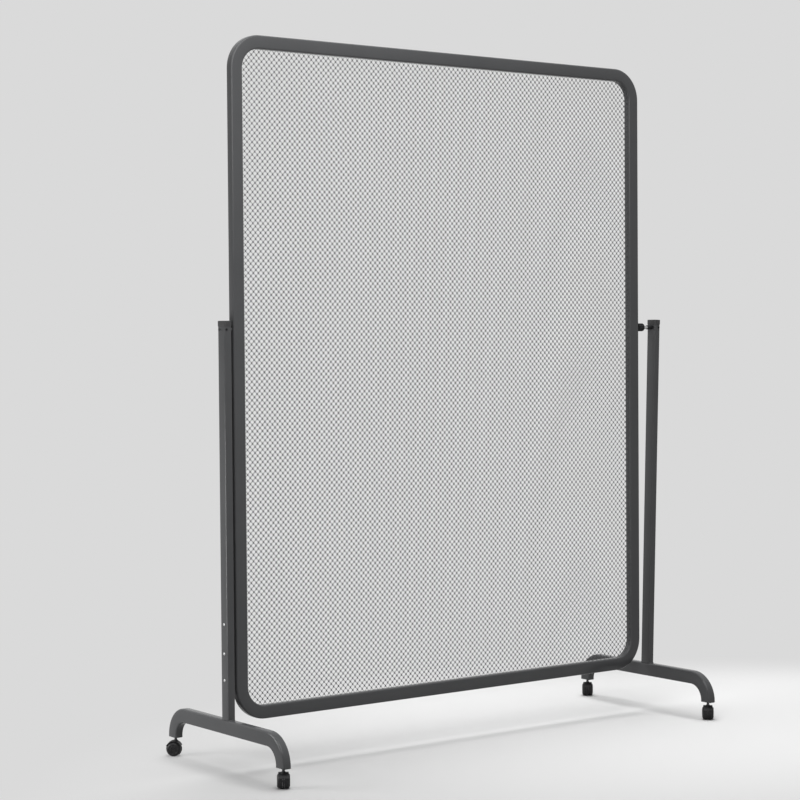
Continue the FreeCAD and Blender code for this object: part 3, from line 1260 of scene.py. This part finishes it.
@dataclass
class CastorKit:
    """The pieces of a twin-wheel castor, modelled once at the origin.

    The stem stands on the Z axis, and the castor trails along X.

    Attributes:
        wheel_radius: the radius of its wheels.
        width: its size along the axle.
        web: the thickness of the web between its wheels.
        play: the gap between the wheels and the hood.
        side_play: the gap between the wheels and the web.
        wall: the wall of the hood.
        trail: how far its axle lies behind its stem.
        top: the height of the boss under the stem.
        stem_top: the height of the stem's upper end.
        cover_width: the size of the hood along the axle.
        skirt: how far the hood's rim lies above the axle.
        rim_round: the rounding of the wheels' outer edges.
        boss_radius: the radius of the boss.
        stem_radius: the radius of the stem.
        axle_radius: the radius of the axle.
        axle_play: the gap round the axle in the web.
        axle_hold: how far the axle reaches into each wheel.
        web_low: how far the web reaches down, in degrees round the axle.
        face_steps: the rings of a wheel's outer face, from its rim inwards: width and rise.
        boss_taper: the share of the boss's radius that is left at its top.
        boss_round: the rounding of the boss's top.
        collar_height: the height of the collar on the stem.
        collar_rise: how far the collar stands out.
        sides: the number of flat sides of the wheels and of the hood.
    """

    top: float
    stem_top: float
    wheel_radius: float = 16.5 * MM
    width: float = 28 * MM
    web: float = 4 * MM
    play: float = 0.8 * MM
    side_play: float = 0.3 * MM
    wall: float = 1.2 * MM
    trail: float = 4 * MM
    cover_width: float = 22 * MM
    skirt: float = 7.3 * MM
    rim_round: float = 6.8 * MM
    boss_radius: float = 6 * MM
    stem_radius: float = 3 * MM
    axle_radius: float = 2.5 * MM
    axle_play: float = 0.1 * MM
    axle_hold: float = 1 * MM
    web_low: float = 50.0
    face_steps: tuple[tuple[float, float], ...] = (
        (0.8 * MM, 0.0),
        (0.6 * MM, -0.9 * MM),
        (4.6 * MM, 0.0),
        (0.5 * MM, 0.7 * MM),
        (1.5 * MM, -0.2 * MM),
    )
    boss_taper: float = 0.8
    boss_round: float = 0.6 * MM
    collar_height: float = 1.2 * MM
    collar_rise: float = 0.8 * MM
    sides: int = 56

    def __post_init__(self) -> None:
        """Model the castor's three pieces."""
        self.axle = Vector((self.trail, 0, self.wheel_radius))
        self.inside = self.wheel_radius + self.play
        self.outside = self.inside + self.wall
        self.wheels = self.build_wheels()
        self.hood = self.build_hood()
        self.stem = self.build_stem()

    def disc(self, name: str, radius: float, width: float, edge: float = 0.0) -> bpy.types.Object:
        """Return a disc on the axle with rounded edges.

        Args:
            name: the piece's name.
            radius: its radius.
            width: its size along the axle.
            edge: the rounding of its edges, or 0 for sharp ones.

        Returns:
            The disc.
        """
        piece = start_disc(name, self.axle, radius, width, Y_AXIS, self.sides)
        edit(piece)
        if edge:
            choose(piece, Pick.EDGE, lambda at, run: abs(abs(at.y) - width / 2) < MERGE)
            bevel(edge, segments=6)
        close_mesh(piece)
        return piece

    def build_wheel(self, way: int) -> bpy.types.Object:
        """Shape one wheel: a rounded tread, a sunk face and a raised hub.

        Args:
            way: 1 for the wheel on the far side of the web, -1 for the near one.

        Returns:
            The wheel.
        """
        inner = self.web / 2 + self.side_play
        depth = self.width / 2 - inner
        centre = self.axle + Vector((0, way * (inner + depth / 2), 0))
        name = f"castor_wheel_{way}"
        wheel = start_disc(name, centre, self.wheel_radius, depth, Y_AXIS, self.sides)
        edit(wheel)
        round_rim(wheel, (0, way, 0), self.rim_round, flats=6)
        choose_facing(wheel, (0, way, 0), FLAT)
        for ring, rise in self.face_steps:
            inset(ring, rise)
        close_mesh(wheel)
        return wheel

    def build_wheels(self) -> bpy.types.Object:
        """Shape the two wheels and the axle that joins them.

        Returns:
            The wheels on their axle as one piece.
        """
        length = self.web + 2 * self.side_play + 2 * self.axle_hold
        axle = self.disc("castor_axle", self.axle_radius, length)
        return gather(self.build_wheel(-1), self.build_wheel(1), axle)

    def build_hood(self) -> bpy.types.Object:
        """Shape the hood: a narrow curved cover over the wheels, a web and a boss.

        Returns:
            The hood.
        """
        shell = self.disc("castor_hood", self.outside, self.cover_width, self.wall / 2)
        room = self.disc("castor_room", self.inside, self.width)
        combine(shell, Blend.DIFFERENCE, room)
        cut_below(shell, self.axle.z + self.skirt)
        web = self.disc("castor_web", (self.inside + self.outside) / 2, self.web)
        cut_below(web, self.axle.z - self.inside * math.sin(math.radians(self.web_low)))
        hole = self.disc("castor_hole", self.axle_radius + self.axle_play, 2 * self.web)
        combine(web, Blend.DIFFERENCE, hole)
        return combine(shell, Blend.UNION, web, self.build_boss())

    def build_boss(self) -> bpy.types.Object:
        """Shape the boss that carries the stem, narrower at its top.

        Returns:
            The boss.
        """
        low = self.axle.z + self.inside - self.wall / 2
        centre = (0, 0, (low + self.top) / 2)
        height = self.top - low
        boss = start_disc("castor_boss", centre, self.boss_radius, height, Z_AXIS, sides=32)
        edit(boss)
        choose_facing(boss, Z_AXIS)
        taper = (self.boss_taper, self.boss_taper, 1)
        bpy.ops.transform.resize(value=taper, center_override=(0, 0, self.top))
        bpy.ops.mesh.region_to_loop()
        bevel(self.boss_round, segments=3)
        close_mesh(boss)
        return boss

    def build_stem(self) -> bpy.types.Object:
        """Shape the stem, with a thin collar above the boss.

        Returns:
            The stem.
        """
        collar = self.top + self.collar_height
        centre = (0, 0, (self.top + self.stem_top) / 2)
        height = self.stem_top - self.top
        stem = start_disc("castor_stem", centre, self.stem_radius, height, Z_AXIS, sides=28)
        edit(stem)
        score((0, 0, collar), Z_AXIS)
        choose(stem, Pick.FACE, lambda at, way: abs(way.z) < SIDEWAYS and at.z < collar)
        swell(self.collar_rise)
        close_mesh(stem)
        return stem

    def place(self, side: Side, end: End) -> None:
        """Set a copy of each piece under one leg and dress it.

        Args:
            side: the stand that the castor carries.
            end: the end of the foot that it is under.
        """
        word = f"{side.word}_{end.word}"
        joints = {joint["name"]: joint for joint in frame["joints"]}
        swivel = joints[f"{word}_castor_swivel"]["pos_m"]
        axle = Vector(joints[f"{word}_castor_roll"]["axis"])
        foot = Matrix.Translation((swivel[0], swivel[1], 0))
        spot = foot @ Matrix.Rotation(math.atan2(-axle.x, axle.y), 4, "Z")
        pieces = [
            (self.wheels, WHEEL_PLASTIC, f"{word}_wheels", "wheels"),
            (self.hood, BLACK_PLASTIC, f"{word}_castor", "hood"),
            (self.stem, DARK_STEEL, f"{word}_castor", "stem"),
        ]
        for master, finish, body, part in pieces:
            piece = copy_of(master, f"{word}_{part}")
            settle(piece, spot)
            dress(piece, finish, body, [f"{word}_castor_{part}"])

    def clear(self) -> None:
        """Remove the pieces that the copies were made from."""
        for master in (self.wheels, self.hood, self.stem):
            bpy.data.objects.remove(master)


# The pivots


@dataclass
class Pivot:
    """One pivot of the screen: a bolt through the post and what sits on it.

    Attributes:
        side: which stand it is on.
        bolt_radius: the radius of the bolt's shank.
        bolt_chamfer: the chamfer of its inner end.
        head_height: how far its head stands out of the post at most.
        dome_radius: the radius of the low dome that covers its head.
        dome_height: the height of the dome.
        dome_round: the share of that height that is rounded.
        socket_land: the width of the flat ring round the dome's socket.
        socket_slope: how far the socket narrows.
        socket_depth: the depth of the socket.
        bush_length: the length of the bush's collar.
        bush_round: the rounding of its outer end.
        plate: the size of the plate on the inner face of the right post.
        plate_bow: the rounding of the plate's ends, as a share of its height.
        plate_round: the rounding of its face.
        collar_radius: the radius of the collar on the plate.
        collar_length: how far the collar stands out of the post.
        collar_round: the rounding of the collar's end.
        spacer_radius: the radius of the spacer beside the left post.
        spacer_groove: the depth of the groove round it.
        knob_flutes: the number of grip flutes on the hand knob.
        flute_depth: the depth of a flute.
        knob_rim: the width of the rim round the knob's ends.
        knob_round: the rounding of its edges.
        body: the body that the bolt belongs to.
    """

    side: Side
    bolt_radius: float = 4 * MM
    bolt_chamfer: float = 0.6 * MM
    head_height: float = 4 * MM
    dome_radius: float = 4.6 * MM
    dome_height: float = 1.4 * MM
    dome_round: float = 0.6
    socket_land: float = 1.6 * MM
    socket_slope: float = 0.2 * MM
    socket_depth: float = 1.0 * MM
    bush_length: float = 4 * MM
    bush_round: float = 0.5 * MM
    plate: tuple[float, float, float] = (2 * MM, 23 * MM, 8.4 * MM)
    plate_bow: float = 0.45
    plate_round: float = 0.4 * MM
    collar_radius: float = 5.4 * MM
    collar_length: float = 15 * MM
    collar_round: float = 0.8 * MM
    spacer_radius: float = 6.4 * MM
    spacer_groove: float = 0.6 * MM
    knob_flutes: int = 12
    flute_depth: float = 1.1 * MM
    knob_rim: float = 1.5 * MM
    knob_round: float = 0.5 * MM
    body: str = "stand"

    def __post_init__(self) -> None:
        """Take the bolt's place from its node."""
        self.low, self.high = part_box(f"{self.side.word}_pivot_bolt")
        self.z = (self.low.z + self.high.z) / 2
        self.way = self.side.value
        self.outward = (self.way, 0, 0)
        self.inward = (-self.way, 0, 0)
        outer, self.inner = self.low.x, self.high.x
        if self.side is Side.RIGHT:
            outer, self.inner = self.high.x, self.low.x
        self.seat = outer - self.way * self.head_height

    def build(self) -> None:
        """Model and dress the bolt, the bush and the spacer or knob."""
        self.build_shank()
        self.build_dome()
        self.build_bush()
        if self.side is Side.LEFT:
            self.build_spacer()
        else:
            self.build_knob()
            self.build_plate()

    def bar(
        self, name: str, radius: float, start: float, end: float, sides: int = 32
    ) -> bpy.types.Object:
        """Return a round bar on the pivot line between two places along X.

        Args:
            name: the piece's name.
            radius: its radius.
            start: one end.
            end: the other end.
            sides: the number of its flat sides.

        Returns:
            The bar.
        """
        centre = ((start + end) / 2, 0, self.z)
        return start_disc(name, centre, radius, abs(end - start), X_AXIS, sides)

    def build_shank(self) -> None:
        """Model the bolt's shank, with a chamfer at its inner end."""
        shank = self.bar(f"{self.side.word}_shank", self.bolt_radius, self.seat, self.inner)
        edit(shank)
        round_rim(shank, self.inward, self.bolt_chamfer, flats=2)
        close_mesh(shank)
        dress(shank, ZINC_STEEL, self.body, [f"{self.side.word}_pivot_bolt"])

    def build_dome(self) -> None:
        """Model the low painted dome over the bolt's head, with a socket."""
        top = self.seat + self.way * self.dome_height
        head = self.bar(f"{self.side.word}_bolt_dome", self.dome_radius, self.seat, top)
        edit(head)
        round_rim(head, self.outward, self.dome_round * self.dome_height, flats=5)
        choose_facing(head, self.outward, FLAT)
        inset(self.socket_land)
        inset(self.socket_slope, -self.socket_depth)
        close_mesh(head)
        dress(head, FRAME_PAINT, self.body)

    def build_bush(self) -> None:
        """Model the bush's collar, which stands out of the frame's side."""
        node = f"{self.side.word}_pivot_bush"
        low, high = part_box(node)
        outer = high.x if self.way > 0 else low.x
        inner = outer - self.way * self.bush_length
        bush = self.bar(f"{self.side.word}_bush", (high.y - low.y) / 2, inner, outer)
        edit(bush)
        round_rim(bush, self.outward, self.bush_round, flats=2)
        close_mesh(bush)
        dress(bush, DARK_STEEL, "panel", [node])

    def build_spacer(self) -> None:
        """Model the spacer between the left post and the screen, with a groove round it."""
        low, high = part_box("left_pivot_spacer")
        spacer = self.bar("left_spacer", self.spacer_radius, low.x, high.x)
        edit(spacer)
        third = (high.x - low.x) / 3
        for step in (1, 2):
            score((low.x + step * third, 0, 0), X_AXIS)
        middle = (low.x + high.x) / 2
        choose(
            spacer,
            Pick.FACE,
            lambda at, way: abs(way.x) < SIDEWAYS and abs(at.x - middle) < third / 2,
        )
        swell(-self.spacer_groove)
        close_mesh(spacer)
        dress(spacer, DARK_STEEL, self.body, ["left_pivot_spacer"])

    def build_knob(self) -> None:
        """Model the hand knob: a fluted grip with rounded ends."""
        low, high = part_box("right_clamp_knob")
        radius = (high.z - low.z) / 2
        knob = self.bar("right_knob", radius, low.x, high.x, 4 * self.knob_flutes)
        edit(knob)
        choose(knob, Pick.FACE, lambda at, normal: abs(normal.x) > ALONG)
        inset(self.knob_rim)
        choose(knob, Pick.FACE, self.in_flute)
        swell(-self.flute_depth)
        close_mesh(knob)
        apply_modifier(knob, "BEVEL", width=self.knob_round, segments=2, limit_method="ANGLE")
        dress(knob, BLACK_PLASTIC, self.body, ["right_clamp_knob"])

    def build_plate(self) -> None:
        """Model a black plate on the inner face of the right post, with a collar round the bolt; its
        black also paints the shade where the bolt enters the post.
        """
        low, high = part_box("right_post")
        slope = (self.z - low.z) / (high.z - low.z)
        face = low.x + slope * (high.x - low.x - Stand.post_width)
        middle = Vector((face, 0, self.z))
        half = Vector(self.plate) / 2
        plate = start_block("right_pivot_plate", middle - half, middle + half)
        round_along(plate, X_AXIS, self.plate_bow * self.plate[2], flats=6)
        round_rim(plate, self.inward, self.plate_round, flats=3)
        close_mesh(plate)
        end = face - self.collar_length
        collar = self.bar("right_pivot_collar", self.collar_radius, end, face)
        edit(collar)
        round_rim(collar, self.inward, self.collar_round, flats=3)
        close_mesh(collar)
        # Black: a plate of its own, and painted shade round the bolt.
        dress(combine(plate, Blend.UNION, collar), BLACK_PLASTIC, self.body)

    def in_flute(self, at: Vector, normal: Vector) -> bool:
        """Say whether a side face of the knob lies in a flute.

        Args:
            at: the face's centre.
            normal: its direction.

        Returns:
            True for every second pair of sides.
        """
        flute = 2 * math.pi / self.knob_flutes
        angle = math.atan2(at.y, at.z - self.z) % flute
        return abs(normal.x) < SIDEWAYS and angle < flute / 2


# The room, the light and the camera


@dataclass(frozen=True)
class Lamp:
    """One round soft lamp of the studio.

    Attributes:
        name: its name.
        place: where it hangs.
        target: the point that it looks at.
        size: its diameter.
        power: its power in watts.
        mirrored: whether it shows in glossy surfaces.
    """

    name: str
    place: tuple[float, float, float]
    target: tuple[float, float, float]
    size: float
    power: float
    mirrored: bool = True

    def hang(self) -> None:
        """Add the lamp to the scene."""
        lamp = bpy.data.lights.new(self.name, "AREA")
        lamp.shape = "DISK"
        lamp.size = self.size
        lamp.energy = self.power
        holder = bpy.data.objects.new(self.name, lamp)
        holder.visible_glossy = self.mirrored
        bpy.context.scene.collection.objects.link(holder)
        aim = Vector(self.target) - Vector(self.place)
        turn = aim.to_track_quat("-Z", "Y").to_matrix().to_4x4()
        holder.matrix_world = Matrix.Translation(self.place) @ turn


LAMPS = (
    Lamp("overhead_lamp", (0.5, 0.45, 4.2), (0.5, 0.45, 0.0), 3.2, 255.0, mirrored=False),
    Lamp("key_lamp", (-1.0, -1.2, 2.2), (-0.6, 0.0, 1.3), 2.2, 43.0),
    Lamp("left_lamp", (-1.6, 0.45, 0.42), (-0.62, 0.0, 0.3), 0.7, 11.0),
)


@dataclass
class Studio:
    """The pale floor and background, the lamps and the camera.

    Attributes:
        yaw: the camera's turn from +Y towards +X, in degrees.
        pitch: how far it looks down.
        roll: how far it is rolled.
        position: where it stands.
        focal_px: its focal length in pixels of the picture.
        picture_px: the picture's width in pixels.
        sensor: the width of its sensor in millimetres.
        sight: how far it sees.
        backdrop: the grey of the background, where 1 is white.
        room_light: the level of the even light from all round.
        floor_pale: the grey of the floor in the middle of its painted pool of light.
        floor_dull: the grey of the floor outside the painted pool of light.
        floor_dim: the grey of the floor for the light that it throws back.
        floor_roughness: how dull the floor's surface is.
        patch_middle: the middle of the painted pool of light.
        patch_near: how far from there the floor starts to turn darker, as the painted light fades.
        patch_far: how far from there the painted light is gone and the floor is darker.
        fade_middle: the point round which the floor takes shadows.
        fade_near: how far from there the floor starts to fade into the background.
        fade_far: how far from there it is the same as the background.
        lit_middle: the middle of the floor that the lamps light well.
        lit_near: how far from there the floor starts to fade into the background as well.
        lit_far: how far from there it is the same as the background.
        floor_size: the length of the floor's sides.
    """

    yaw: float = 36.712
    pitch: float = 1.781
    roll: float = -0.437
    position: tuple[float, float, float] = (-3.0308, -3.8513, 0.9507)
    focal_px: float = 2083.0
    picture_px: float = 800.0
    sensor: float = 36.0
    sight: float = 100.0
    backdrop: float = 0.701
    room_light: float = 0.15
    floor_pale: float = 0.56
    floor_dull: float = 0.345
    floor_dim: float = 0.27
    floor_roughness: float = 0.9
    patch_middle: tuple[float, float, float] = (1.6, 0.35, 0.0)
    patch_near: float = 1.2
    patch_far: float = 2.8
    fade_middle: tuple[float, float, float] = (0.3, -0.9, 0.0)
    fade_near: float = 1.25
    fade_far: float = 1.75
    lit_middle: tuple[float, float, float] = (0.6, 0.4, 0.0)
    lit_near: float = 1.5
    lit_far: float = 2.3
    floor_size: float = 60.0

    def build(self) -> None:
        """Set up the floor, the light and the camera."""
        self.build_floor()
        for lamp in LAMPS:
            lamp.hang()
        self.build_world()
        self.build_camera()
        bpy.context.scene.view_settings.view_transform = "Standard"

    def looking(self, tree: bpy.types.NodeTree) -> bpy.types.NodeSocket:
        """Return 1 for what the camera sees, straight, in a gloss or through glass.

        Args:
            tree: the floor's or the world's node tree.

        Returns:
            A number socket.
        """
        path = add_node(tree, "LightPath")
        seen = path.outputs["Is Camera Ray"]
        for word in ("Is Glossy Ray", "Is Transmission Ray"):
            larger = add_node(tree, "Math", operation="MAXIMUM")
            tree.links.new(seen, larger.inputs[0])
            tree.links.new(path.outputs[word], larger.inputs[1])
            seen = larger.outputs["Value"]
        return seen

    def spread(
        self,
        tree: bpy.types.NodeTree,
        middle: Sequence[float],
        reach: tuple[float, float],
        levels: tuple[float, float],
    ) -> bpy.types.NodeSocket:
        """Return a number that changes smoothly with the distance from a point of the floor.

        Args:
            tree: the floor's node tree.
            middle: the point.
            reach: the distances where the change starts and ends.
            levels: the number before and after the change.

        Returns:
            A number socket.
        """
        place = add_node(tree, "TexCoord")
        apart = add_node(tree, "VectorMath", operation="DISTANCE")
        apart.inputs[1].default_value = middle
        change = add_node(tree, "MapRange", interpolation_type="SMOOTHSTEP")
        change.inputs["From Min"].default_value, change.inputs["From Max"].default_value = reach
        change.inputs["To Min"].default_value, change.inputs["To Max"].default_value = levels
        tree.links.new(place.outputs["Object"], apart.inputs[0])
        tree.links.new(apart.outputs["Value"], change.inputs["Value"])
        return change.outputs["Result"]

    def build_floor(self) -> None:
        """Lay a pale floor with a painted pool of light, which takes shadows near the divider and
        fades into the background.
        """
        clear_selection()
        bpy.ops.mesh.primitive_plane_add(size=self.floor_size, location=(0, 0, 0))
        floor = bpy.context.object
        floor.name = "studio_floor"
        material = bpy.data.materials.new("studio_paper")
        material.use_nodes = True
        tree = material.node_tree
        paper = tree.nodes["Principled BSDF"]
        paper.inputs["Roughness"].default_value = self.floor_roughness
        paper.inputs["Specular IOR Level"].default_value = 0.0
        seen = self.looking(tree)
        # The floor's grey is paler round one point and darker away from it: a painted pool of light.
        patch = self.spread(
            tree,
            self.patch_middle,
            (self.patch_near, self.patch_far),
            (self.floor_pale, self.floor_dull),
        )
        grey = add_node(tree, "MapRange")
        grey.inputs["To Min"].default_value = self.floor_dim
        tree.links.new(seen, grey.inputs["Value"])
        tree.links.new(patch, grey.inputs["To Max"])
        tree.links.new(grey.outputs["Result"], paper.inputs["Base Color"])
        fade = self.spread(tree, self.fade_middle, (self.fade_near, self.fade_far), (0, 1))
        unlit = self.spread(tree, self.lit_middle, (self.lit_near, self.lit_far), (0, 1))
        either = add_node(tree, "Math", operation="MAXIMUM")
        tree.links.new(fade, either.inputs[0])
        tree.links.new(unlit, either.inputs[1])
        share = add_node(tree, "Math", operation="MULTIPLY")
        tree.links.new(either.outputs["Value"], share.inputs[0])
        tree.links.new(seen, share.inputs[1])
        glow = add_node(tree, "Emission", Strength=self.backdrop)
        blend = add_node(tree, "MixShader")
        tree.links.new(share.outputs["Value"], blend.inputs[0])
        tree.links.new(paper.outputs["BSDF"], blend.inputs[1])
        tree.links.new(glow.outputs["Emission"], blend.inputs[2])
        tree.links.new(blend.outputs["Shader"], tree.nodes["Material Output"].inputs["Surface"])
        floor.data.materials.append(material)

    def build_world(self) -> None:
        """Show the background to the camera and light the room evenly."""
        world = bpy.data.worlds.new("studio_light")
        world.use_nodes = True
        tree = world.node_tree
        shade = tree.nodes["Background"]
        shade.inputs["Color"].default_value = (1, 1, 1, 1)
        level = add_node(tree, "MapRange")
        level.inputs["To Min"].default_value = self.room_light
        level.inputs["To Max"].default_value = self.backdrop
        tree.links.new(self.looking(tree), level.inputs["Value"])
        tree.links.new(level.outputs["Result"], shade.inputs["Strength"])
        bpy.context.scene.world = world

    def build_camera(self) -> None:
        """Stand the camera where the picture was taken."""
        yaw, pitch, roll = (math.radians(a) for a in (self.yaw, self.pitch, self.roll))
        ahead = Vector(
            (math.sin(yaw) * math.cos(pitch), math.cos(yaw) * math.cos(pitch), -math.sin(pitch))
        )
        level = Vector((math.cos(yaw), -math.sin(yaw), 0))
        upright = level.cross(ahead)
        right = math.cos(roll) * level + math.sin(roll) * upright
        up = -math.sin(roll) * level + math.cos(roll) * upright
        lens = bpy.data.cameras.new("photo_camera")
        lens.sensor_width = self.sensor
        lens.lens = self.sensor * self.focal_px / self.picture_px
        lens.clip_end = self.sight
        camera = bpy.data.objects.new("photo_camera", lens)
        bpy.context.scene.collection.objects.link(camera)
        turn = Matrix((right, up, -ahead)).transposed().to_4x4()
        camera.matrix_world = Matrix.Translation(self.position) @ turn
        bpy.context.scene.camera = camera


def main() -> None:
    """Build the divider and its studio."""
    logging.basicConfig(level=logging.INFO, format="%(name)s: %(message)s")
    Screen().build()
    Stand(Side.LEFT, lean=0.0).build()
    Stand(Side.RIGHT, lean=1.8).build()
    low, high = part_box("left_front_castor_stem")
    kit = CastorKit(top=low.z, stem_top=high.z)
    for side in Side:
        Pivot(side).build()
        for end in End:
            kit.place(side, end)
    kit.clear()
    Studio().build()


if __name__ == "__main__":
    main()
